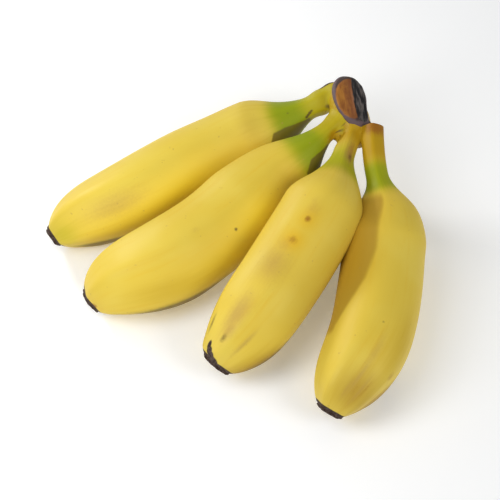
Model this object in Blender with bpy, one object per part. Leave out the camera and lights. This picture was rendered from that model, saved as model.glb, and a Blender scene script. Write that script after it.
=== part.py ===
# A hand of four small bananas joined at the crown, lying on its bellies with the crown raised.
# Lengths are in millimetres until MM turns them into metres. The fingers point to -Y, +Z is up.
import bmesh
import bpy
import numpy as np
from mathutils import Matrix, Vector

MM = 0.001
SIDES = 28             # points round each finger
STALK_RINGS = 15       # rings from the crown to the end of the shoulder
BODY_RINGS = 7         # rings along the even middle
TIP_RINGS = 13         # rings along the taper
STALK_HALF = 4.5       # half thickness of a stalk
RIDGE = 0.025          # how far the five soft ridges stand out, as a share of the half thickness
SCAR_DEPTH = 0.8       # hollow of the blossom scar at each tip
FLAT_Z = 0.0           # height of the flats that the hand rests on

# Each axis runs from the crown to the tip. girth is the half thickness of the body, stalk is
# where the shoulder starts, neck is how long it widens, taper and tip shape the blossom end.
# Each swell is: place along the axis, angle round it in degrees, length, width in degrees, height.
FINGERS = {
    "finger_1": {
        "axis": [
            (-4.0, 80.7, 35.0), (-14.6, 66.6, 29.4), (-22.4, 57.5, 23.0), (-33.3, 45.3, 16.5),
            (-45.8, 19.1, 14.5), (-54.8, -10.9, 15.2), (-63.3, -25.0, 12.0), (-69.5, -34.6, 6.4),
        ],
        "girth": 15.0, "stalk": 15, "neck": 30, "taper": 37, "tip": 2.9, "roll": 20, "swells": [],
    },
    "finger_2": {
        "axis": [
            (1.7, 73.7, 33.2), (-1.0, 48.0, 30.0), (-7.0, 35.0, 25.0), (-10.0, 20.0, 20.0),
            (-13.0, -3.0, 17.5), (-22.0, -31.0, 17.0), (-30.4, -42.6, 13.0), (-36.5, -50.8, 6.8),
        ],
        "girth": 17.5, "stalk": 9, "neck": 57, "taper": 41, "tip": 3.5, "roll": 40,
        "swells": [(18, 207, 6, 65, -1.6), (30, 208, 5, 50, 2.8), (108, 215, 16, 50, 0.9)],
    },
    "finger_3": {
        "axis": [
            (4.7, 75.2, 29.9), (14.0, 51.0, 32.0), (19.0, 37.0, 30.0), (22.0, 22.0, 28.0),
            (24.0, -2.0, 22.0), (25.6, -31.0, 17.0), (24.6, -41.6, 13.4), (23.3, -47.6, 9.1),
        ],
        "girth": 16.5, "stalk": 24, "neck": 30, "taper": 39, "tip": 3.5, "roll": 30,
        "swells": [(118, 203, 14, 50, 1.2)],
    },
    "finger_4": {
        "axis": [
            (15.6, 70.5, 33.7), (30.0, 53.0, 29.0), (41.4, 42.5, 23.6), (48.3, 31.2, 19.4),
            (58.2, 13.2, 16.2), (69.2, -15.8, 16.0), (70.7, -31.8, 13.2), (70.4, -39.4, 8.2),
        ],
        "girth": 16.5, "stalk": 22, "neck": 30, "taper": 39, "tip": 3.9, "roll": 10,
        "swells": [(35, 10, 6, 50, 2.9), (39, 165, 6, 50, 0.9)],
    },
}

# The crown is a woody pad across the four stalks, cut off on the side away from the fingers.
CROWN_CENTRE = (1.2, 74.4, 34.6)
CROWN_HALF = (13.5, 8.0, 8.5)
CROWN_ALONG = (0.71, -0.67, -0.21)         # from the stalk of finger_1 to that of finger_4
CROWN_FACE_NORMAL = (0.17, -0.09, 0.98)    # the orange-brown cut face
CROWN_FACE_OUT = 6.3                       # its distance from the centre
CROWN_SIDE_NORMAL = (0.60, 0.38, 0.71)     # the dark fibrous side
CROWN_SIDE_OUT = 6.3
CUSHION_CENTRE = (6.8, 71.2, 29.1)         # the flesh that the stalks share below the crown
CUSHION_HALF = (10.0, 6.5, 6.0)


def clear_scene():
    for item in list(bpy.data.objects):
        bpy.data.objects.remove(item, do_unlink=True)


def new_collection(name, hidden=False):
    group = bpy.data.collections.new(name)
    group.hide_render = hidden
    bpy.context.scene.collection.children.link(group)
    return group


def make_material(name, colour, roughness):
    material = bpy.data.materials.new(name)
    material.use_nodes = True
    shader = material.node_tree.nodes["Principled BSDF"]
    shader.inputs["Base Color"].default_value = (*colour, 1.0)
    shader.inputs["Roughness"].default_value = roughness
    shader.inputs["Metallic"].default_value = 0.0
    return material


def ease(x):
    x = np.clip(x, 0.0, 1.0)
    return x * x * (3.0 - 2.0 * x)


def curve_through(points, fine=400):
    # A natural cubic curve through the points, with its length measured along the way.
    p = np.array(points, float)
    chord = np.concatenate([[0.0], np.cumsum(np.linalg.norm(np.diff(p, axis=0), axis=1))])
    step = np.diff(chord)
    count = len(p)
    matrix = np.eye(count)
    right = np.zeros((count, 3))
    for i in range(1, count - 1):
        matrix[i, i - 1:i + 2] = step[i - 1], 2.0 * (step[i - 1] + step[i]), step[i]
        right[i] = 6.0 * ((p[i + 1] - p[i]) / step[i] - (p[i] - p[i - 1]) / step[i - 1])
    bend = np.linalg.solve(matrix, right)
    s = np.linspace(0.0, chord[-1], fine)
    i = np.clip(np.searchsorted(chord, s, side="right") - 1, 0, count - 2)
    h = step[i][:, None]
    a = (chord[i + 1] - s)[:, None] / h
    b = 1.0 - a
    line = a * p[i] + b * p[i + 1] + ((a**3 - a) * bend[i] + (b**3 - b) * bend[i + 1]) * h**2 / 6.0
    length = np.concatenate([[0.0], np.cumsum(np.linalg.norm(np.diff(line, axis=0), axis=1))])
    return line, length


def half_thickness(t, length, finger):
    girth = finger["girth"]
    wide = STALK_HALF + (girth - STALK_HALF) * ease((t - finger["stalk"]) / finger["neck"])
    end = np.clip((t - (length - finger["taper"])) / finger["taper"], 0.0, 1.0)
    return wide * np.sqrt(1.0 - end**2 * (1.0 - (finger["tip"] / girth) ** 2))


def frames_across(line):
    # Two directions across the axis at each ring: level sideways, and over the top.
    along = np.gradient(line, axis=0)
    along /= np.linalg.norm(along, axis=1)[:, None]
    side = np.cross(along, (0.0, 0.0, 1.0))
    side /= np.linalg.norm(side, axis=1)[:, None]
    return along, side, np.cross(side, along)


def swollen(stations, turn, swells):
    # Low mounds and hollows: each fades with the distance along the finger and the angle round it.
    height = np.zeros((len(stations), len(turn)))
    for place, angle, long, wide, out in swells:
        away = (turn - np.radians(angle) + np.pi) % (2.0 * np.pi) - np.pi
        along = np.exp(-(((stations - place) / long) ** 2))
        height += out * along[:, None] * np.exp(-((away / np.radians(wide)) ** 2))
    return height


def loft_finger(name, finger, group, material):
    line, length = curve_through(finger["axis"])
    total = length[-1]
    shoulder = finger["stalk"] + finger["neck"]
    taper = total - finger["taper"]
    middle = min(shoulder, taper - 6.0)
    tip = taper + finger["taper"] * np.sin(np.linspace(0.0, np.pi / 2.0, TIP_RINGS))
    stations = np.concatenate([
        np.linspace(0.0, middle, STALK_RINGS, endpoint=False),
        np.linspace(middle, taper, BODY_RINGS, endpoint=False),
        tip,
    ])
    centre = np.stack([np.interp(stations, length, line[:, k]) for k in range(3)], axis=1)
    along, side, over = frames_across(centre)
    half = half_thickness(stations, total, finger)
    turn = np.linspace(0.0, 2.0 * np.pi, SIDES, endpoint=False)
    ridge = 1.0 + RIDGE * np.cos(5.0 * (turn - np.radians(finger["roll"])))
    across = side[:, None] * np.cos(turn)[:, None] + over[:, None] * np.sin(turn)[:, None]
    reach = half[:, None] * ridge + swollen(stations, turn, finger["swells"])
    rings = centre[:, None] + across * reach[:, :, None]

    mesh = bmesh.new()
    loops = [[mesh.verts.new(Vector(point * MM)) for point in ring] for ring in rings]
    # The blossom scar: a rim turned in a little, then a shallow hollow.
    for inward, out in ((0.75, 0.3), (0.45, 0.3 - SCAR_DEPTH)):
        ring = centre[-1] + along[-1] * out + (rings[-1] - centre[-1]) * inward
        loops.append([mesh.verts.new(Vector(point * MM)) for point in ring])
    for here, there in zip(loops, loops[1:]):
        for k in range(SIDES):
            n = (k + 1) % SIDES
            mesh.faces.new((here[k], here[n], there[n], there[k]))
    mesh.faces.new(loops[0][::-1])
    mesh.faces.new(loops[-1])
    bmesh.ops.recalc_face_normals(mesh, faces=mesh.faces)
    return finish_mesh(name, mesh, group, material)


def finish_mesh(name, mesh, group, material):
    data = bpy.data.meshes.new(name)
    mesh.to_mesh(data)
    mesh.free()
    data.materials.append(material)
    item = bpy.data.objects.new(name, data)
    group.objects.link(item)
    return item


def make_lump(name, centre, half, long_way, flats, group, material):
    # An ellipsoid with its first half size along long_way, and each flat cut at its own distance.
    first = Vector(long_way).normalized()
    third = (Vector((0.0, 0.0, 1.0)) - first * first.z).normalized()
    turn = Matrix((first, third.cross(first), third)).transposed()
    mesh = bmesh.new()
    bmesh.ops.create_icosphere(mesh, subdivisions=3, radius=1.0)
    for vertex in mesh.verts:
        vertex.co = turn @ Vector([vertex.co[k] * half[k] * MM for k in range(3)])
    for normal, out in flats:
        direction = Vector(normal).normalized()
        geometry = mesh.verts[:] + mesh.edges[:] + mesh.faces[:]
        cut = bmesh.ops.bisect_plane(
            mesh, geom=geometry, plane_co=direction * out * MM, plane_no=direction, clear_outer=True
        )
        rim = [part for part in cut["geom_cut"] if isinstance(part, bmesh.types.BMEdge)]
        bmesh.ops.edgeloop_fill(mesh, edges=rim)
    bmesh.ops.translate(mesh, vec=Vector(centre) * MM, verts=mesh.verts)
    bmesh.ops.recalc_face_normals(mesh, faces=mesh.faces)
    return finish_mesh(name, mesh, group, material)


def make_box(name, low, high, group):
    mesh = bmesh.new()
    bmesh.ops.create_cube(mesh, size=1.0)
    low, high = Vector(low) * MM, Vector(high) * MM
    for vertex in mesh.verts:
        vertex.co = Vector([low[k] + (high[k] - low[k]) * (vertex.co[k] + 0.5) for k in range(3)])
    data = bpy.data.meshes.new(name)
    mesh.to_mesh(data)
    mesh.free()
    item = bpy.data.objects.new(name, data)
    item.hide_render = True
    item.display_type = "WIRE"
    group.objects.link(item)
    return item


def apply_boolean(item, operation, other=None, group=None, solver="EXACT"):
    modifier = item.modifiers.new(operation.lower(), "BOOLEAN")
    modifier.operation = operation
    modifier.solver = solver
    if group is None:
        modifier.object = other
    else:
        modifier.operand_type = "COLLECTION"
        modifier.collection = group
    bpy.context.view_layer.objects.active = item
    bpy.ops.object.modifier_apply(modifier=modifier.name)


clear_scene()
hand = new_collection("banana_hand_parts")
joined = new_collection("joined_fingers", hidden=True)
cutters = new_collection("cutters", hidden=True)

peel = make_material("banana_peel", (0.72, 0.55, 0.10), 0.45)

crown_flats = ((CROWN_FACE_NORMAL, CROWN_FACE_OUT), (CROWN_SIDE_NORMAL, CROWN_SIDE_OUT))
banana_hand = make_lump("banana_hand", CROWN_CENTRE, CROWN_HALF, CROWN_ALONG, crown_flats, hand, peel)
make_lump("cushion", CUSHION_CENTRE, CUSHION_HALF, CROWN_ALONG, (), joined, peel)
for finger_name, finger_values in FINGERS.items():
    loft_finger(finger_name, finger_values, joined, peel)
apply_boolean(banana_hand, "UNION", group=joined)
for joined_part in list(joined.objects):
    bpy.data.objects.remove(joined_part, do_unlink=True)

table = make_box("table_cut", (-120, -120, -20), (140, 140, FLAT_Z), cutters)
apply_boolean(banana_hand, "DIFFERENCE", other=table)

# The origin goes to the middle of the box round the hand, at the height of the table.
corners = np.array([vertex.co for vertex in banana_hand.data.vertices])
middle = (corners.min(axis=0) + corners.max(axis=0)) / 2.0
shift = np.array([middle[0], middle[1], corners[:, 2].min()])
for vertex in banana_hand.data.vertices:
    vertex.co -= Vector(shift)

for polygon in banana_hand.data.polygons:
    polygon.use_smooth = True
banana_hand.data.set_sharp_from_angle(angle=np.radians(35.0))
print("origin shift in mm", np.round(shift / MM, 2))
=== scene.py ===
import bpy
import numpy as np
from mathutils import Matrix, Vector


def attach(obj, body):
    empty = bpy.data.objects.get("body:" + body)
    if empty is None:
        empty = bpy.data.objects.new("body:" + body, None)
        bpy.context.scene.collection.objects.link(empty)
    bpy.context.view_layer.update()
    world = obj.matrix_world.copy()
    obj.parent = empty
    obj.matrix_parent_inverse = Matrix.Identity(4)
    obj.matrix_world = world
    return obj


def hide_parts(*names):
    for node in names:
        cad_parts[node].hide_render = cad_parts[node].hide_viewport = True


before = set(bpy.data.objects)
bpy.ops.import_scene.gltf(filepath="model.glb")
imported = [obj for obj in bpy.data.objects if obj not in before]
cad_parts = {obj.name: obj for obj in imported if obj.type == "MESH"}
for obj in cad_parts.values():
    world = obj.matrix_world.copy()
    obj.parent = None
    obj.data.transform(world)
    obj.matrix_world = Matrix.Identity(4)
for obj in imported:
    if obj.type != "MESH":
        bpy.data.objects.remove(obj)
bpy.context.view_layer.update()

mm = 0.001
handOrigin = np.array((5.07, 15.52, 0.0))      # where the frame's origin is, in the drawing's millimetres


def ease(x):
    # 3 x squared less 2 x cubed, held between 0 and 1
    x = np.clip(x, 0.0, 1.0)
    return x * x * (3.0 - 2.0 * x)


def between(x, low, high):
    # 0 at low and 1 at high, eased
    return ease((x - low) / (high - low))


def unit(v):
    # the vectors divided by their lengths
    v = np.asarray(v, float)
    return v / np.linalg.norm(v, axis=-1, keepdims=True)


def ripple(points, size, seed, waves=18):
    # A soft random field about 0: plane waves about size long, with seeded directions, added and evened out.
    chance = np.random.default_rng(seed)
    direction = unit(chance.normal(size=(waves, 3)))
    pace = 2.0 * np.pi / (size * chance.uniform(0.7, 1.6, waves))
    start = chance.uniform(0.0, 2.0 * np.pi, waves)
    return np.sin(points @ (direction * pace[:, None]).T + start).sum(axis=-1) / np.sqrt(waves)


def curveThrough(points, fine=500):
    # A natural cubic curve through the points, and the length of the way to each of its samples.
    p = np.array(points, float)
    chord = np.concatenate([[0.0], np.cumsum(np.linalg.norm(np.diff(p, axis=0), axis=1))])
    step = np.diff(chord)
    inner = np.arange(1, len(p) - 1)
    matrix = np.eye(len(p))
    matrix[inner, inner - 1] = step[:-1]
    matrix[inner, inner] = 2.0 * (step[:-1] + step[1:])
    matrix[inner, inner + 1] = step[1:]
    right = np.zeros_like(p)
    slope = np.diff(p, axis=0) / step[:, None]
    right[1:-1] = 6.0 * np.diff(slope, axis=0)
    bend = np.linalg.solve(matrix, right)
    s = np.linspace(0.0, chord[-1], fine)
    i = np.clip(np.searchsorted(chord, s, side="right") - 1, 0, len(p) - 2)
    h = step[i][:, None]
    a = (chord[i + 1] - s)[:, None] / h
    b = 1.0 - a
    line = a * p[i] + b * p[i + 1] + ((a**3 - a) * bend[i] + (b**3 - b) * bend[i + 1]) * h**2 / 6.0
    length = np.concatenate([[0.0], np.cumsum(np.linalg.norm(np.diff(line, axis=0), axis=1))])
    return line, length


def gridMesh(name, points, material, numbers, vectors):
    # A closed skin from a grid (rows along, columns around): the first and last rows are one point each.
    rows, columns = points.shape[:2]
    flat = points[1:-1].reshape(-1, 3)
    flat = np.concatenate([points[0, :1], flat, points[-1, :1]])
    ring = 1 + np.arange((rows - 2) * columns).reshape(rows - 2, columns)
    after = np.roll(ring, -1, axis=1)
    quads = np.stack([ring[:-1], after[:-1], after[1:], ring[1:]], axis=-1).reshape(-1, 4)
    first = np.stack([np.zeros(columns, int), after[0], ring[0]], axis=-1)
    last = np.stack([ring[-1], after[-1], np.full(columns, len(flat) - 1)], axis=-1)
    faces = first.tolist() + quads.tolist() + last.tolist()
    corner = flat[quads[:, :3]] - flat.mean(axis=0)
    if np.linalg.det(corner).sum() < 0.0:          # the grid runs the other way round, so each face is turned
        faces = [face[::-1] for face in faces]
    mesh = bpy.data.meshes.new(name)
    mesh.from_pydata((flat - handOrigin) * mm, [], faces)
    mesh.polygons.foreach_set("use_smooth", np.ones(len(mesh.polygons), bool))
    for key, values in numbers.items():
        row = np.concatenate([values[0, :1], values[1:-1].ravel(), values[-1, :1]]).astype(np.float32)
        mesh.attributes.new(key, "FLOAT", "POINT").data.foreach_set("value", row)
    for key, values in vectors.items():
        row = np.concatenate([values[0, :1], values[1:-1].reshape(-1, 3), values[-1, :1]]).astype(np.float32)
        mesh.attributes.new(key, "FLOAT_VECTOR", "POINT").data.foreach_set("vector", row.ravel())
    mesh.materials.append(material)
    mesh.update()
    piece = bpy.data.objects.new(name, mesh)
    bpy.context.scene.collection.objects.link(piece)
    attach(piece, "root")
    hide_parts("banana_hand")
    return piece


class Wire:
    # One number socket, for shader maths as plain arithmetic: each operator adds a Math node.
    def __init__(self, sheet, socket):
        self.sheet, self.socket = sheet, socket

    def maths(self, operation, *values):
        return self.sheet.node("ShaderNodeMath", {"operation": operation}, dict(enumerate(values)))

    def __add__(self, other):
        return self.maths("ADD", self, other)

    def __sub__(self, other):
        return self.maths("SUBTRACT", self, other)

    def __rsub__(self, other):
        return self.maths("SUBTRACT", other, self)

    def __mul__(self, other):
        return self.maths("MULTIPLY", self, other)

    def clamped(self):
        return self.sheet.node("ShaderNodeClamp", {}, {0: self, 1: 0.0, 2: 1.0})

    __radd__ = __add__
    __rmul__ = __mul__


class Sheet:
    # The nodes of one material.
    def __init__(self, name):
        self.material = bpy.data.materials.new(name)
        self.material.use_nodes = True
        self.tree = self.material.node_tree
        self.shader = self.tree.nodes["Principled BSDF"]

    def node(self, kind, settings=None, inputs=None, output=0):
        # any node: its settings first, then the values or wires of its sockets
        made = self.tree.nodes.new(kind)
        for key, value in (settings or {}).items():
            setattr(made, key, value)
        for key, value in (inputs or {}).items():
            self.feed(made.inputs[key], value)
        return Wire(self, made.outputs[output])

    def feed(self, socket, value):
        if isinstance(value, Wire):
            self.tree.links.new(value.socket, socket)
        else:
            socket.default_value = value

    def place(self):
        return self.node("ShaderNodeTexCoord", output=3)

    def number(self, key):
        return self.node("ShaderNodeAttribute", {"attribute_name": key}, output=2)

    def vector(self, key):
        return self.node("ShaderNodeAttribute", {"attribute_name": key}, output=1)

    def noise(self, where, size, detail=2.0, roughness=0.5):
        # size is the length of one blotch, in millimetres
        values = {"Vector": where, "Scale": 1.0 / (size * mm), "Detail": detail, "Roughness": roughness}
        return self.node("ShaderNodeTexNoise", {"noise_dimensions": "3D"}, values)

    def rise(self, value, low, high):
        # 0 below low, 1 above high, eased between; low above high turns it round
        return self.node("ShaderNodeMapRange", {"interpolation_type": "SMOOTHSTEP"},
                         {0: value, 1: low, 2: high, 3: 0.0, 4: 1.0})

    def tint(self, amount, under, over):
        # the colour under, turned into the colour over by that amount
        pick = {6: under, 7: over}
        pick = {key: (*value, 1.0) if isinstance(value, tuple) else value for key, value in pick.items()}
        return self.node("ShaderNodeMix", {"data_type": "RGBA"}, {0: amount, **pick}, 2)

    def bump(self, height, distance, strength):
        # distance is how far the height of 1 stands out, in millimetres
        values = {"Height": height, "Distance": distance * mm, "Strength": strength}
        return self.node("ShaderNodeBump", {}, values)

    def finish(self, **sockets):
        # the shader's own sockets, with _ for each space in a name
        for key, value in sockets.items():
            if isinstance(value, tuple):
                value = (*value, 1.0)
            self.feed(self.shader.inputs[key.replace("_", " ")], value)
        return self.material


# Of these colours, the dark greenish brown and the darker brownish yellow are painted shade, and the brightest yellow
# and the gold are painted light.
peelLook = {
    "yellow": (0.70, 0.505, 0.056), "deepYellow": (0.70, 0.42, 0.014), "paleYellow": (0.72, 0.54, 0.074),
    "green": (0.27, 0.325, 0.004), "limeYellow": (0.46, 0.405, 0.008), "warmYellow": (0.48, 0.29, 0.006),
    "orangeBrown": (0.33, 0.13, 0.010), "tan": (0.42, 0.24, 0.065), "brown": (0.090, 0.050, 0.020),
    "charBrown": (0.035, 0.018, 0.012), "charGrey": (0.11, 0.075, 0.06), "olive": (0.14, 0.095, 0.012),
    "ochre": (0.40, 0.23, 0.020), "brightYellow": (0.90, 0.68, 0.088), "golden": (0.93, 0.69, 0.040),
    "roughness": 0.52, "charRoughness": 0.8, "gloss": 0.2,
}


def peelColour(sheet, look):
    # Yellow in soft blotches and fine streaks, each mark's tone by its own number, roughened by noise so that its
    # edge is uneven, and the scars' char over all of it. Some marks are painted light and shade: paler yellow where
    # more light falls, gold where light reflects between the fingers, and darker, browner tones where shade falls.
    where, along = sheet.place(), sheet.vector("grain")
    broad = sheet.noise(where, 26.0, 2.0)
    fine = sheet.noise(along, 2.4, 3.0, 0.6)
    grainy = sheet.noise(where, 0.9, 2.0, 0.6)
    colour = sheet.tint(sheet.rise(broad, 0.38, 0.66), look["yellow"], look["paleYellow"])
    colour = sheet.tint(sheet.rise(fine, 0.50, 0.80) * 0.30, colour, look["deepYellow"])
    # deeper yellow: the peel's own round finger 3's rust spots, painted shade on finger 4's left flank
    colour = sheet.tint(sheet.number("deep").clamped(), colour, look["deepYellow"])
    # painted light: paler yellow where the first finger is lit more strongly
    colour = sheet.tint(sheet.number("bright").clamped(), colour, look["brightYellow"])
    # painted light: deep gold where light reflected between the fingers falls
    colour = sheet.tint(sheet.number("golden").clamped(), colour, look["golden"])
    patchy = (fine - 0.5) * 0.5 + (broad - 0.5) * 0.5
    colour = sheet.tint(sheet.rise(sheet.number("lime") + patchy * 0.5, 0.05, 0.95), colour, look["limeYellow"])
    colour = sheet.tint(sheet.rise(sheet.number("green") + patchy * 0.6, 0.10, 0.95), colour, look["green"])
    # warmer yellow: the peel's own at the stalks' tops and on the crown, painted shade in the spots low on fingers 2,
    # 3 and 4
    colour = sheet.tint(sheet.rise(sheet.number("warm") + patchy * 0.5, 0.10, 0.95), colour, look["warmYellow"])
    # painted shade: darker brownish yellow where shade falls, and where finger 3's shadow lies on finger 4
    colour = sheet.tint(sheet.rise(sheet.number("ochre") + patchy * 0.3, 0.15, 0.75) * 0.8, colour, look["ochre"])
    ragged = (grainy - 0.5) * 0.45 + (fine - 0.5) * 0.55
    colour = sheet.tint(sheet.rise(sheet.number("rust") + ragged * 0.6, 0.25, 0.85), colour, look["orangeBrown"])
    bruise = sheet.rise(sheet.number("bruise") + ragged * 0.5, 0.05, 1.0)
    colour = sheet.tint(bruise * 0.75, colour, look["tan"])
    speck = sheet.rise(sheet.number("speck") + ragged * 0.5, 0.30, 0.85)
    colour = sheet.tint(speck * 0.85, colour, look["brown"])
    # painted shade: dark greenish brown under the necks and along the bellies
    olive = sheet.rise(sheet.number("olive") + ragged * 0.3, 0.25, 0.75)
    colour = sheet.tint(olive * 0.85, colour, look["olive"])
    dots = sheet.rise(sheet.noise(where, 1.7, 1.0, 0.5), 0.74, 0.80)
    colour = sheet.tint(dots * 0.35, colour, look["tan"])
    char = sheet.rise(sheet.number("char") + ragged * 0.35, 0.35, 0.65)
    charTone = sheet.tint(sheet.rise(grainy, 0.35, 0.75), look["charBrown"], look["charGrey"])
    colour = sheet.tint(char, colour, charTone)
    return colour, char, fine, grainy, where


def makePeel():
    # Satin, duller on the scars, with shallow streaks and pores, and rough scars.
    sheet, look = Sheet("bananaPeel"), peelLook
    colour, char, fine, grainy, where = peelColour(sheet, look)
    roughness = look["roughness"] + (fine - 0.5) * 0.16 + char * (look["charRoughness"] - look["roughness"])
    pores = sheet.noise(where, 0.55, 2.0, 0.6)
    height = fine * 0.5 + pores * 0.18 + char * grainy * 1.6
    normal = sheet.bump(height, 0.22, 0.35)
    return sheet.finish(Base_Color=colour, Roughness=roughness, Normal=normal, Metallic=0.0,
                        Specular_IOR_Level=look["gloss"])


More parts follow.
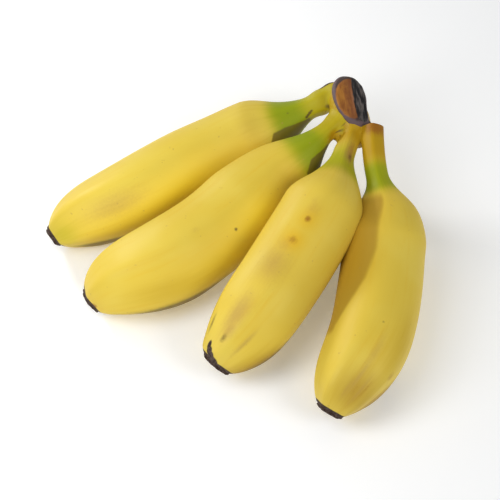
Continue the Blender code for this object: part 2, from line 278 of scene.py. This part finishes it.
# Each axis runs from the crown to the blossom end. girth is the half thickness of the body, stalk is where the
# shoulder starts, neck is how long it widens, taper is how long it closes, tip is the half thickness there, and
# roll turns the ridges. Angles go round the finger in degrees: 90 is up and 270 is the belly.
# green: where it starts, is full, starts to fade and is gone, and its strength. limeFrom: where lime yellow starts.
# swells: mm along, angle, mm long, degrees wide, mm out. spots: kind, mm along, angle, mm long, mm wide, strength.
# The wide bands below are darker peel painted as shade: the shade under the necks of fingers 1 and 2, and the
# shadow that finger 3 casts on finger 4. sideBand says what their values mean.
fingers = {
    "finger_1": {
        "axis": [(-4.0, 80.7, 35.0), (-14.6, 66.6, 29.4), (-22.4, 57.5, 23), (-33.3, 45.3, 16.5), (-45.8, 19.1, 14.5),
                 (-54.8, -10.9, 15.2), (-63.3, -25.0, 12.0), (-69.5, -34.6, 6.4)],
        "girth": 15.0, "stalk": 15, "neck": 30, "taper": 37, "tip": 2.9, "roll": 20, "knuckleAt": 12, "knuckle": 0.8,
        "green": (13, 25, 25, 37, 1.0), "limeFrom": 4, "warm": 0.35,
        "swells": [(6.0, 45, 3.5, 50, 1.6)],
        "shadedUnder": {"edge": [(20, 172), (23, 160), (28, 147), (33, 144), (38, 172)], "towards": 1, "until": 202,
                        "soft": 8, "fade": 3, "strength": 1.0},
        "spots": [
            ("bruise", 113, 129, 12, 6, 0.55), ("bruise", 104, 127, 6, 4, 0.3), ("lime", 135, 140, 9, 9, 0.55),
            ("speck", 24.8, 112, 1.0, 0.8, 0.6), ("speck", 19.2, 163, 0.9, 0.8, 1.0),
            ("speck", 18.3, 158, 0.9, 0.7, 1.0), ("speck", 17.4, 153, 0.9, 0.7, 1.0),
            ("speck", 16.5, 148, 0.8, 0.6, 0.9), ("speck", 9.5, 158, 2.2, 1.3, 0.8),
            # painted on this line: shade along the belly near the tip, and light reflected between the fingers on the
            # lower side
            ("char", 6.5, 48, 4.5, 1.2, 1.0), ("olive", 121, 211, 16, 5, 0.9), ("golden", 88, 166, 27, 9, 1.0),
            # painted on this line: light on the upper body, and shade on the shoulder near the neck
            ("bright", 98, 112, 36, 13, 0.5), ("ochre", 42, 108, 10, 18, 0.36),
        ],
    },
    "finger_2": {
        "axis": [(1.7, 73.7, 33.2), (-1, 48, 30), (-7, 35, 25), (-10, 20, 20), (-13, -3, 17.5), (-22, -31, 17),
                 (-30.4, -42.6, 13.0), (-36.5, -50.8, 6.8)],
        "girth": 17.5, "stalk": 9, "neck": 57, "taper": 41, "tip": 3.5, "roll": 40, "knuckleAt": 9, "knuckle": 0.6,
        "green": (15, 24, 27, 38, 0.85), "limeFrom": 4, "warm": 0.45,
        "swells": [(18, 207, 6, 65, -1.6), (30, 208, 5, 50, 2.8), (108, 215, 16, 50, 0.9), (15, 160, 3.5, 35, -0.9)],
        "shadedUnder": {"edge": [(20, 162), (25, 151), (28, 150), (31, 166)], "towards": 1, "until": 202,
                        "soft": 8, "fade": 2, "strength": 1.0},
        "spots": [
            ("speck", 77.9, 135, 1.0, 1.0, 0.9), ("bruise", 92, 105, 2.2, 1.6, 0.35),
            ("rust", 135.2, 150, 1.8, 1.5, 0.9), ("speck", 12.5, 152, 2.4, 0.6, 0.8),
            # painted on this line: shade along the belly near the tip
            ("warm", 15, 160, 3.5, 4, 1.0), ("speck", 9, 140, 2.5, 0.8, 0.7), ("olive", 108, 204, 26, 5.5, 1.0),
            # painted on these lines: shade low near the tip, and light reflected between the fingers on the lower
            # side
            ("warm", 110, 160, 17, 6.5, 0.5), ("golden", 82, 172, 15, 7.5, 0.75),
            ("golden", 64, 150, 15, 8, 0.9),
        ],
    },
    "finger_3": {
        "axis": [(4.7, 75.2, 29.9), (14, 51, 32), (19, 37, 30), (22, 22, 28), (24, -2, 22), (25.6, -31, 17),
                 (24.6, -41.6, 13.4), (23.3, -47.6, 9.1)],
        "girth": 16.5, "stalk": 24, "neck": 30, "taper": 39, "tip": 3.5, "roll": 30, "knuckleAt": 10, "knuckle": 0.3,
        "green": (20, 28, 33, 40, 0.38), "limeFrom": 22, "warm": 1.0,
        "swells": [(118, 203, 14, 50, 1.9), (15.5, 28, 4.5, 45, -1.4), (127.0, 38, 3, 35, 1.1)],
        "spots": [
            ("rust", 64.5, 97, 1.8, 1.5, 0.8), ("deep", 64.5, 97, 5, 4, 0.7),
            ("rust", 74.6, 95, 2.8, 3.0, 0.58), ("deep", 74.6, 95, 5, 4.5, 0.9),
            ("bruise", 60, 96, 4, 3.5, 0.4), ("bruise", 117, 91, 4.5, 3, 0.7),
            ("bruise", 88, 89, 11, 7.5, 0.62), ("bruise", 79, 88, 6, 5, 0.45),
            ("bruise", 57.5, 91, 3, 2.5, 0.3), ("speck", 119.9, 92, 2.2, 1.9, 0.62),
            ("bruise", 112, 85, 10, 4.5, 0.72), ("bruise", 117.5, 129, 6, 1.2, 0.6),
            ("rust", 118.5, 130, 3.5, 0.8, 0.3), ("char", 124.2, 64, 2.0, 1.3, 1.0),
            ("char", 125.6, 72, 1.8, 1.8, 1.1), ("char", 126.6, 84, 1.6, 2.0, 1.2),
            # painted on this line: shade on the belly near the tip
            ("char", 127.6, 100, 1.6, 2.0, 1.3), ("ochre", 119, 195, 12, 7, 0.9),
            ("speck", 13.5, 22, 3.0, 0.5, 0.9), ("speck", 118, 44, 5, 0.9, 0.7), ("bruise", 36, 97, 5, 7, 0.35),
            ("speck", 27, 134, 3.8, 1.8, 0.62), ("bruise", 26, 128, 6, 3.5, 0.7),
            ("rust", 24, 132, 8, 3.2, 0.6), ("speck", 31.5, 125, 3.0, 1.4, 0.45),
            # painted on this line: shade on the belly and low side near the tip
            ("olive", 114, 204, 16, 6.5, 1.0), ("warm", 119, 168, 12, 5.5, 0.5),
        ],
    },
    "finger_4": {
        "axis": [(15.6, 70.5, 33.7), (30, 53, 29), (41.4, 42.5, 23.6), (48.3, 31.2, 19.4), (58.2, 13.2, 16.2),
                 (69.2, -15.8, 16), (70.7, -31.8, 13.2), (70.4, -39.4, 8.2)],
        "girth": 16.5, "stalk": 22, "neck": 30, "taper": 39, "tip": 3.9, "roll": 10, "knuckleAt": 3, "knuckle": 0.0,
        "green": (13, 21, 27, 33, 0.66), "limeFrom": 15, "warm": 1.0,
        "swells": [(35, 10, 6, 50, 2.9), (39, 165, 6, 50, 0.9)],
        # painted shadow: the shadow that finger 3 casts on this finger's left flank
        "ochreFlank": {"edge": [(36, 80), (62, 81), (78, 70), (88, 56), (101, 36)], "towards": -1, "until": 5,
                       "soft": 7, "fade": 8, "strength": 0.7},
        "spots": [
            ("rust", 1.5, 105, 5, 7, 0.85), ("bruise", 108, 117, 10, 2.2, 0.42),
            ("speck", 97.5, 108, 0.9, 0.9, 0.6), ("rust", 110.5, 162, 2.8, 2.2, 0.55),
            ("rust", 118, 172, 5, 1.5, 0.5), ("bruise", 121, 112, 4, 0.9, 0.45),
            ("rust", 118.5, 140, 6, 0.9, 0.45), ("rust", 120, 126, 4, 1.0, 0.4),
            # painted on this line: shade under the belly near the tip, and finger 3's shadow on the left flank
            ("olive", 110, 222, 20, 5, 0.8), ("ochre", 117, 200, 14, 5, 0.8), ("deep", 62, 45, 24, 9, 1.0),
            # painted on this line: shade on the lower right side, and shade between the folds near the tip
            ("warm", 102, 147, 22, 9, 0.5), ("ochre", 121, 130, 9, 12, 0.58),
            ("bruise", 116.5, 118, 7, 1.0, 0.6), ("bruise", 119, 135, 6, 0.9, 0.5),
        ],
    },
}
fingerSkin = {
    "rings": 330, "sides": 144, "stalkHalf": 4.5, "nubLong": 1.4, "knuckleLong": 3.2,
    # five lengthwise ridges: how high on each stretch, as a share of the thickness, and how sharp
    "ridges": 5, "ridgeSharp": 0.16, "neckRidge": 0.036, "bodyRidge": 0.012, "tipRidge": 0.070, "neckRidgeGone": 0.8,
    # waves of the skin: millimetres high, millimetres long, seed
    "dents": (0.22, 24.0, 5), "nubRough": (0.42, 3.0, 9),
    # how softly the belly meets the table, and how far up that is felt
    "tableSoft": 0.5, "tableReach": 3.0,
    # the rings that close each end: share of the thickness, millimetres further along
    "stalkEnd": [(0.0, -0.5), (0.45, -0.5), (0.8, -0.4), (0.93, -0.2), (1.0, 0.0)],
    "nub": [(1.0, 0.0), (0.96, 0.06), (0.91, 0.18), (0.90, 0.40), (0.91, 0.72), (0.89, 1.05), (0.83, 1.28),
            (0.75, 1.36), (0.66, 1.25), (0.55, 0.95), (0.40, 0.55), (0.20, 0.25), (0.0, 0.15)],
}
# every number that peelColour reads from a piece's points
peelMarks = ("green", "lime", "warm", "ochre", "deep", "bright", "golden", "rust", "bruise", "speck", "olive", "char")
# millimetres before (-) or after a place in a finger's values, that its band is eased between
peelBands = {
    "limeIn": (-8, 6), "limeOut": (-2, 4), "limeShare": 0.9, "warmUntil": 10.0, "warmPastGreen": 11,
    "scar": (-1.7, -0.5), "streakStretch": 0.10,
}


def ridgeShare(turn, roll, skin):
    # Rounded ridges round the finger: a cosine of so many times the angle, sharpened by one twice as fine.
    angle = skin["ridges"] * (turn - np.radians(roll))
    return np.cos(angle) + skin["ridgeSharp"] * np.cos(2.0 * angle)


def halfThickness(t, total, values, skin):
    # Stalk, eased out to the girth over the neck, closed by a quarter ellipse that stops at the blossom end.
    grown = ease((t - values["stalk"]) / values["neck"])
    wide = skin["stalkHalf"] + (values["girth"] - skin["stalkHalf"]) * grown
    end = np.clip((t - (total - values["taper"])) / values["taper"], 0.0, 1.0)
    return wide * np.sqrt(1.0 - end**2 * (1.0 - (values["tip"] / values["girth"]) ** 2))


def angleFrom(turn, degrees):
    # The shortest way round from that angle, in radians.
    return (turn[None] - np.radians(degrees) + np.pi) % (2 * np.pi) - np.pi


def fingerSurface(name, values, skin):
    # Rings across a bent axis: centre + (side cos a + over sin a) x half thickness x (1 + ridges), with dents and
    # swells outwards. A closed nub with a hollow end stands on the last ring, and the table flattens the belly.
    line, length = curveThrough(values["axis"])
    total = length[-1]
    body = total - skin["nubLong"]
    startSqueeze, startPush = np.transpose(skin["stalkEnd"])
    nubSqueeze, nubPush = np.transpose(skin["nub"])
    plainRings = skin["rings"] - 2
    t = np.concatenate([np.zeros(len(startPush)), np.linspace(0.0, body, skin["rings"])[1:-1],
                        np.full(len(nubPush), body)])
    squeeze = np.concatenate([startSqueeze, np.ones(plainRings), nubSqueeze])
    push = np.concatenate([startPush, np.zeros(plainRings), nubPush])
    centre = np.stack([np.interp(t, length, line[:, k]) for k in range(3)], axis=1)
    slope = np.gradient(line, length, axis=0)
    along = unit(np.stack([np.interp(t, length, slope[:, k]) for k in range(3)], axis=1))
    side = unit(np.cross(along, (0.0, 0.0, 1.0)))
    over = np.cross(side, along)
    turn = np.linspace(-0.5 * np.pi, 1.5 * np.pi, skin["sides"], endpoint=False)
    half = halfThickness(t, total, values, skin)
    half = half + values["knuckle"] * np.exp(-((t - values["knuckleAt"]) / skin["knuckleLong"]) ** 2)
    grown = between(t, values["stalk"], values["stalk"] + values["neck"] * skin["neckRidgeGone"])
    closing = between(t, total - values["taper"], body)
    ridge = skin["neckRidge"] * (1 - grown) + skin["bodyRidge"] * grown
    ridge = ridge + (skin["tipRidge"] - skin["bodyRidge"]) * closing
    shape = 1.0 + ridge[:, None] * ridgeShare(turn, values["roll"], skin)[None]
    across = side[:, None] * np.cos(turn)[None, :, None] + over[:, None] * np.sin(turn)[None, :, None]
    radius = half[:, None] * shape * squeeze[:, None]
    points = (centre + along * push[:, None])[:, None] + across * radius[..., None]
    high, size, seed = skin["dents"]
    dent = ripple(points, size, seed) * high * (grown * (1 - closing))[:, None]
    points = points + across * dent[..., None]
    for place, angle, long, wide, out in values["swells"]:
        near = np.exp(-((t - place) / long) ** 2)[:, None] * np.exp(-(angleFrom(turn, angle) / np.radians(wide)) ** 2)
        points = points + across * (near * out)[..., None]
    high, size, seed = skin["nubRough"]
    nub = (push > 0.0)[:, None] * ripple(points, size, seed)
    points = points + across * (nub * high * squeeze[:, None])[..., None]
    amount = between(t, *join["stalkStarts"]) * (1 - between(t, *join["stalkEnds"]))
    points = weld(points, across * np.ones_like(points), name, amount[:, None])
    soft, low = skin["tableSoft"], points[..., 2]
    sink = 0.5 * soft * np.exp(-(low / skin["tableReach"]) ** 2)
    points[..., 2] = 0.5 * (low + np.sqrt(low**2 + soft**2)) - sink
    return points, t + push, turn, half, total


def spotField(kind, values, t, turn, half):
    # The strongest of the oval fades of that kind, by the distance along and round the finger.
    field = np.zeros((len(t), len(turn)))
    for name, place, angle, long, wide, strength in values["spots"]:
        if name == kind:
            far = ((t[:, None] - place) / long) ** 2 + (angleFrom(turn, angle) * half[:, None] / wide) ** 2
            field = np.maximum(field, strength * np.exp(-far))
    return field


def sideBand(band, t, turn):
    # 1 from the band's edge, an angle that changes along the finger, round to its until angle, towards higher
    # angles (1) or lower ones (-1). It fades over its soft edge, in degrees, more slowly where it ends, and over
    # the fade, in mm, at both ends.
    angle, soft = np.degrees(turn)[None] * band["towards"], band["soft"]
    edge = np.interp(t, *np.transpose(band["edge"]))[:, None] * band["towards"]
    end = band["until"] * band["towards"]
    inside = between(angle, edge - soft, edge + soft) * (1 - between(angle, end - soft, end + 3 * soft))
    first, last = band["edge"][0][0], band["edge"][-1][0]
    length = between(t, first - band["fade"], first) * (1 - between(t, last, last + band["fade"]))
    return inside * length[:, None] * band["strength"]


def makeFinger(name, values, material):
    # Along the finger: warm at the stalk's top, lime and green at the neck, char at the scar. Spots and bands add
    # to that, the strongest of each kind; both bands and some spots are painted shade, and a few spots painted light.
    # Grain is the skin rolled round the girth and squeezed along.
    points, t, turn, half, total = fingerSurface(name, values, fingerSkin)
    body = total - fingerSkin["nubLong"]
    rise, full, last, gone, strength = values["green"]
    start, bands = values["limeFrom"], peelBands
    lime = between(t, start + bands["limeIn"][0], start + bands["limeIn"][1])
    lime = lime * (1 - between(t, last + bands["limeOut"][0], gone + bands["limeOut"][1]))
    rows = {
        "green": between(t, rise, full) * (1 - between(t, last, gone)) * strength,
        "lime": lime * bands["limeShare"],
        "warm": (1 - between(t, bands["warmUntil"], rise + bands["warmPastGreen"])) * values["warm"],
        "char": between(t, body + bands["scar"][0], body + bands["scar"][1]),
    }
    numbers = {kind: spotField(kind, values, t, turn, half) for kind in peelMarks}
    for kind, row in rows.items():
        numbers[kind] = np.maximum(numbers[kind], row[:, None])
    # both bands are painted shade: under the necks, and finger 3's shadow on finger 4
    for kind, band in (("olive", "shadedUnder"), ("ochre", "ochreFlank")):
        if band in values:
            numbers[kind] = np.maximum(numbers[kind], sideBand(values[band], t, turn))
    whole = np.ones((len(t), len(turn)))
    grain = np.stack([whole * np.cos(turn) * values["girth"], whole * np.sin(turn) * values["girth"],
                      whole * t[:, None] * bands["streakStretch"]], axis=-1)
    return gridMesh(name, points, material, numbers, {"grain": grain * mm})


# In millimetres: an oval about its centre, two planes that cut it so far out, a rim round the cuts, and a cushion
# of flesh under it. Fades are shares from 0 to 1 of how far a plane or the cushion decides the shape.
crown = {
    "centre": (1.2, 74.4, 34.6), "half": (13.5, 8.0, 8.5), "longWay": (0.71, -0.67, -0.21),
    "cutNormal": (0.17, -0.09, 0.98), "cutOut": 6.3, "sideNormal": (0.597, 0.380, 0.707), "sideOut": 5.8,
    "bandNormal": (0.32, 0.26, 0.91), "bandMiddle": 2.9, "bandWide": 1.6, "bandProud": 0.45,
    "cushion": (6.8, 71.2, 29.1), "cushionHalf": (10.0, 6.5, 6.0), "sharpness": 16.0, "cushionBlend": 10,
    "rows": 180, "columns": 220, "cutDepth": 0.8, "fibre": 0.45, "cutShadeWide": 5.5,
    "capEdge": (-1.2, -0.9), "bandSharp": 1.2, "cushionFade": (0.5, 0.8), "bandFade": (0.4, 0.7),
    "cutFade": (0.55, 0.95), "fibreFade": (0.2, 0.8),
    # fibres: how far they stretch across, along and out of the side plane, then their sizes and seeds
    "fibreStretch": (1.0, 0.22, 0.5), "fibreSizes": [(1.5, 21), (3.2, 22)], "fibreShare": 0.6,
    "cutGrain": (1.0, 0.18, 0.3), "lime": 0.5, "warm": 0.75,
    # direction, share that it grows by, spread in degrees
    "swells": [((0.04, 0.84, 0.54), 0.13, 24), ((0.897, 0.415, -0.150), -0.16, 26),
               ((0.607, 0.763, 0.203), -0.08, 18), ((-0.70, 0.42, 0.58), -0.03, 20)],
}
crownLook = {
    "ring": (0.125, 0.080, 0.085), "ringDark": (0.050, 0.026, 0.020),
    "cut": (0.43, 0.17, 0.020), "cutDark": (0.27, 0.085, 0.012),
    "cutPale": (0.56, 0.30, 0.06), "cutDeep": (0.16, 0.045, 0.012),
    "fibre": (0.12, 0.10, 0.09), "fibreDark": (0.010, 0.008, 0.008),
    "roughness": 0.46, "woodRoughness": 0.68, "gloss": 0.4,
}


def crownWays(values):
    # The two cut planes' own directions, and the way of the ridge between them.
    cut, side = unit(values["cutNormal"]), unit(values["sideNormal"])
    return cut, side, unit(np.cross(cut, side))


def crownFrame(values):
    # Three directions: the crown's long way, the level way across it, and up.
    first = unit(values["longWay"])
    third = unit(np.array((0.0, 0.0, 1.0)) - first * first[2])
    return np.stack([first, np.cross(third, first), third])


def crownReach(way, values):
    # How far the crown goes in each direction: the smooth smallest of an oval, swollen here and there, and two
    # cut planes, or the cushion below it where that reaches further. It gives each one's share as well.
    turned, power = crownFrame(values), values["sharpness"]
    cutWay, sideWay, _ = crownWays(values)
    swell = np.ones(way.shape[:-1])
    for towards, amount, spread in values["swells"]:
        swell = swell + amount * np.exp((way @ unit(towards) - 1.0) / (1.0 - np.cos(np.radians(spread))))
    oval = np.linalg.norm(way @ turned.T / np.array(values["half"]), axis=-1) / swell
    cut = np.maximum(way @ cutWay, 1e-4) / values["cutOut"]
    side = np.maximum(way @ sideWay, 1e-4) / values["sideOut"]
    total = oval**power + cut**power + side**power
    radius = total ** (-1.0 / power)
    scale = turned.T / np.array(values["cushionHalf"])          # makes the cushion a ball of radius 1
    step, start = way @ scale, (np.array(values["centre"]) - np.array(values["cushion"])) @ scale
    stepStep, startStep = (step**2).sum(-1), step @ start
    far = (-startStep + np.sqrt(np.maximum(startStep**2 - stepStep * (start @ start - 1.0), 0.0))) / stepStep
    blend = values["cushionBlend"]
    both = (radius**blend + far**blend) ** (1.0 / blend)
    return both, cut**power / total, side**power / total, (far / both) ** blend


def crownSurface(values):
    # Directions over a ball, turned so that its pole is the rim's middle, each as long as crownReach says. Then
    # the rim stands out as a bell curve of height, the cut sinks and the side gets strands of fibre.
    pole = unit(values["bandNormal"])
    flatA = unit(np.cross(pole, unit(values["longWay"])))
    flatB = np.cross(pole, flatA)
    lean = np.linspace(np.pi, 0.0, values["rows"])[:, None]
    turn = np.linspace(0.0, 2 * np.pi, values["columns"], endpoint=False)[None]
    way = (flatA * (np.sin(lean) * np.cos(turn))[..., None] + flatB * (np.sin(lean) * np.sin(turn))[..., None]
           + pole * (np.cos(lean) * np.ones_like(turn))[..., None])
    both, shareCut, shareSide, shareCushion = crownReach(way, values)
    points = way * both[..., None]
    height = points @ pole
    middle, capLow, capHigh = values["bandMiddle"], *values["capEdge"]
    cap = between(height, middle + capLow, middle + capHigh) * (1 - between(shareCushion, *values["cushionFade"]))
    band = np.exp(-((height - middle) / values["bandWide"]) ** 2 * values["bandSharp"])
    band = band * (1 - between(shareCut, *values["bandFade"])) * (1 - between(shareSide, *values["bandFade"])) * cap
    cutWay, sideWay, ridgeWay = crownWays(values)
    across = np.cross(sideWay, ridgeWay)
    strands = np.stack([points @ across, points @ ridgeWay, points @ sideWay], axis=-1) * values["fibreStretch"]
    fibre = sum(ripple(strands, size, seed) for size, seed in values["fibreSizes"]) * values["fibreShare"]
    grow = band * values["bandProud"] - between(shareCut, *values["cutFade"]) * values["cutDepth"]
    grow = grow + fibre * values["fibre"] * between(shareSide, *values["fibreFade"]) * cap
    points = points + way * grow[..., None] + np.array(values["centre"])
    points = weld(points, way * np.ones_like(points), "crown", 1.0 - cap)
    return points, {"ring": band, "cap": cap, "cutFace": shareCut, "fibreSide": shareSide, "strand": fibre}


# Where the pieces meet, in millimetres: how softly, how deep in another piece a point stops moving, the most that
# one moves, where along a stalk the fillet starts and ends, and how far off points and axes are looked at.
join = {
    "soften": 2.6, "hide": 0.6, "hidden": 1.6, "most": 3.0, "stalkStarts": (2.0, 7.0), "stalkEnds": (26.0, 34.0),
    "pointsNear": 40.0, "axisNear": 46.0, "axisSamples": 160, "rounds": 7, "pace": 0.8,
}


def fingerField(points, values, skin):
    # Distance to the nearest part of the axis less the half thickness there, below zero inside.
    line, length = curveThrough(values["axis"], join["axisSamples"])
    near = length < join["axisNear"]
    line, length, total = line[near], length[near], length[-1]
    gap = np.linalg.norm(points[:, None] - line[None], axis=-1)
    best = gap.argmin(axis=1)
    return gap[np.arange(len(points)), best] - halfThickness(length[best], total, values, skin)


def crownField(points, values):
    # Distance from the centre less crownReach in that direction, below zero inside.
    away = points - np.array(values["centre"])
    far = np.linalg.norm(away, axis=-1)
    return far - crownReach(away / np.maximum(far, 1e-6)[:, None], values)[0]


def weld(points, outward, own, amount):
    # Points near another piece move outwards until they lie on the softened union of all the pieces, the smaller
    # field less a quarter of the square of how near the two are, so that a fillet joins them. What is well inside
    # another piece stays where it is, out of sight.
    shape = points.shape
    flat, way = points.reshape(-1, 3).copy(), outward.reshape(-1, 3)
    amount = (amount * np.ones(shape[:-1])).ravel()
    away = np.linalg.norm(flat - np.array(crown["centre"]), axis=-1)
    chosen = np.flatnonzero((amount > 0.0) & (away < join["pointsNear"]))
    spot, step = flat[chosen], way[chosen]

    def fields(at):
        found = {name: fingerField(at, part, fingerSkin) for name, part in fingers.items()}
        found["crown"] = crownField(at, crown)
        return found

    def nearest(found):
        return np.min([value for name, value in found.items() if name != own], axis=0)

    start = fields(spot)
    keep = between(nearest(start), -join["hidden"], -join["hide"]) * amount[chosen]
    move = np.zeros(len(chosen))
    for tries in range(join["rounds"]):
        now = fields(spot + step * move[:, None])
        mine, rest = now[own] - start[own], nearest(now)
        both = np.maximum(join["soften"] - np.abs(mine - rest), 0.0) / join["soften"]
        union = np.minimum(mine, rest) - both**2 * join["soften"] * 0.25
        move = np.clip(move - join["pace"] * union, 0.0, join["most"])
    flat[chosen] = spot + step * (move * keep)[:, None]
    return flat.reshape(shape)


def makeCrownMaterial():
    # Peel up to the cap's edge, then the rim, the orange cut, darker towards its ridge, and the fibrous side.
    sheet, tone = Sheet("crownSkin"), crownLook
    colour, char, fine, grainy, where = peelColour(sheet, peelLook)
    coarse = sheet.noise(where, 1.6, 3.0, 0.6)
    streak = sheet.noise(sheet.vector("cutGrain"), 1.6, 3.0, 0.6)
    thread = sheet.noise(sheet.vector("cutGrain"), 0.8, 3.0, 0.65)
    uneven = coarse - 0.5
    rim = sheet.rise(sheet.number("ring") + uneven * 0.5, 0.35, 0.85)
    band = sheet.tint(rim, tone["ringDark"], tone["ring"])
    cut = sheet.tint(sheet.rise(streak, 0.30, 0.60), tone["cutDark"], tone["cut"])
    cut = sheet.tint(sheet.rise(streak + uneven * 0.4, 0.60, 0.85) * 0.7, cut, tone["cutPale"])
    shade = sheet.rise(sheet.number("cutShade") + uneven * 0.5, 0.2, 0.9)
    cut = sheet.tint(shade * 0.75, cut, tone["cutDeep"])
    strand = sheet.rise(sheet.number("strand") * 0.12 + thread, 0.42, 0.78)
    side = sheet.tint(strand, tone["fibreDark"], tone["fibre"])
    wood = sheet.tint(sheet.rise(sheet.number("cutFace") + uneven * 0.25, 0.14, 0.34), band, cut)
    wood = sheet.tint(sheet.rise(sheet.number("fibreSide") + uneven * 0.3, 0.25, 0.45), wood, side)
    cap = sheet.rise(sheet.number("cap") + (grainy - 0.5) * 0.4, 0.4, 0.6)
    roughness = tone["roughness"] + (fine - 0.5) * 0.15 + cap * (tone["woodRoughness"] - tone["roughness"])
    normal = sheet.bump(coarse * 0.7 + grainy * 0.5, 0.4, 0.5)
    return sheet.finish(Base_Color=sheet.tint(cap, colour, wood), Roughness=roughness, Normal=normal, Metallic=0.0,
                        Specular_IOR_Level=tone["gloss"])


def makeCrown(material):
    # Its own marks on plain warm peel. cutGrain is the place across the cut's ridge, along it and up, squeezed.
    points, shares = crownSurface(crown)
    still = np.zeros(points.shape[:2])
    cutWay, sideWay, ridgeWay = crownWays(crown)
    inward = crown["sideOut"] - (points - crown["centre"]) @ sideWay
    numbers = {**{kind: still for kind in peelMarks}, **shares,
               "lime": still + crown["lime"], "warm": still + crown["warm"],
               "cutShade": 1 - between(inward, 0.0, crown["cutShadeWide"])}
    cutGrain = np.stack([points @ np.cross(cutWay, ridgeWay), points @ ridgeWay, points[..., 2]], axis=-1)
    vectors = {"grain": points * mm, "cutGrain": cutGrain * crown["cutGrain"] * mm}
    return gridMesh("crown", points, material, numbers, vectors)


peelMaterial = makePeel()
crownMaterial = makeCrownMaterial()
for fingerName, fingerValues in fingers.items():
    made = makeFinger(fingerName, fingerValues, peelMaterial)
    print(fingerName, len(made.data.polygons), "faces")
made = makeCrown(crownMaterial)
print("crown", len(made.data.polygons), "faces")


studio = {
    "floor": (0.93, 0.93, 0.925), "floorDarker": 0.97, "floorGlow": 0.17, "floorRough": 0.9,
    "floorHalf": 1500.0, "floorLines": 9, "floorBelow": 0.02,
    "sky": (0.95, 0.97, 1.0), "skyStrength": 0.36, "aimHeight": 16.0,
    # where it shines from, millimetres away, disc across in millimetres, watts
    "lights": {
        "window": ((-0.916, 0.162, 0.367), 420.0, 70.0, 0.77),
        "softbox": ((-0.10, -0.55, 0.83), 300.0, 200.0, 0.28),
        "fill": ((0.82, 0.0, 0.57), 800.0, 400.0, 1.90),
        "lamp": ((-0.23, -0.76, 0.61), 263.0, 120.0, 0.15),
    },
}
# Degrees round and up, millimetres away, and how far the view is moved aside and down from its target.
photoView = {
    "azimuth": 36.0, "elevation": 52.0, "away": 750.0, "lens": 135.0, "sensor": 36.0,
    "target": (0.0, 0.0, 16.0), "aside": 4.0, "below": 0.8, "clip": (0.01, 20.0),
}


def makeFloor(values):
    # A flat square, its two parameters the two ways across it.
    sheet = Sheet("paleFloor")
    speckle = sheet.noise(sheet.place(), 40.0, 2.0)
    darker = tuple(values["floorDarker"] * part for part in values["floor"])
    colour = sheet.tint(speckle * 0.15, values["floor"], darker)
    material = sheet.finish(Base_Color=colour, Roughness=values["floorRough"], Emission_Color=values["floor"],
                            Emission_Strength=values["floorGlow"])
    lines = values["floorLines"]
    edge = np.linspace(-values["floorHalf"], values["floorHalf"], lines)
    across, deep = np.meshgrid(edge, edge)
    points = np.stack([across, deep, np.full_like(across, -values["floorBelow"])], axis=-1).reshape(-1, 3)
    corner = (np.arange(lines - 1)[:, None] * lines + np.arange(lines - 1)).ravel()
    faces = np.stack([corner, corner + 1, corner + lines + 1, corner + lines], axis=-1)
    mesh = bpy.data.meshes.new("floor")
    mesh.from_pydata(points * mm, [], faces.tolist())
    mesh.materials.append(material)
    floor = bpy.data.objects.new("floor", mesh)
    bpy.context.scene.collection.objects.link(floor)


def makeLight(name, source, away, size, power):
    # A soft disc that shines from that direction on to the hand.
    light = bpy.data.lights.new(name, "AREA")
    light.shape = "DISK"
    light.size = size * mm
    light.energy = power
    lamp = bpy.data.objects.new(name, light)
    way = Vector(source).normalized()
    lamp.location = (way * away + Vector((0.0, 0.0, studio["aimHeight"]))) * mm
    lamp.rotation_euler = way.to_track_quat("Z", "Y").to_euler()
    bpy.context.scene.collection.objects.link(lamp)


def makeCamera(values):
    # It looks along back, the direction of the azimuth and elevation, with its top up.
    azimuth, elevation = np.radians(values["azimuth"]), np.radians(values["elevation"])
    back = Vector((np.sin(azimuth) * np.cos(elevation), -np.cos(azimuth) * np.cos(elevation), np.sin(elevation)))
    right = Vector((np.cos(azimuth), np.sin(azimuth), 0.0))
    up = back.cross(right)
    view = bpy.data.cameras.new("photoCamera")
    view.lens = values["lens"]
    view.sensor_width = values["sensor"]
    view.clip_start, view.clip_end = values["clip"]
    camera = bpy.data.objects.new("photoCamera", view)
    place = Vector(values["target"]) - Vector(handOrigin) + back * values["away"]
    place = place + right * values["aside"] - up * values["below"]
    camera.matrix_world = Matrix.Translation(place * mm) @ Matrix((right, up, back)).transposed().to_4x4()
    bpy.context.scene.collection.objects.link(camera)
    bpy.context.scene.camera = camera


makeFloor(studio)
for lightName, (source, away, size, power) in studio["lights"].items():
    makeLight(lightName, source, away, size, power)
sky = bpy.data.worlds.new("studioSky")
sky.use_nodes = True
sky.node_tree.nodes["Background"].inputs[0].default_value = (*studio["sky"], 1.0)
sky.node_tree.nodes["Background"].inputs[1].default_value = studio["skyStrength"]
bpy.context.scene.world = sky
bpy.context.scene.view_settings.view_transform = "Standard"
makeCamera(photoView)
print("floor, lights and camera are in place")
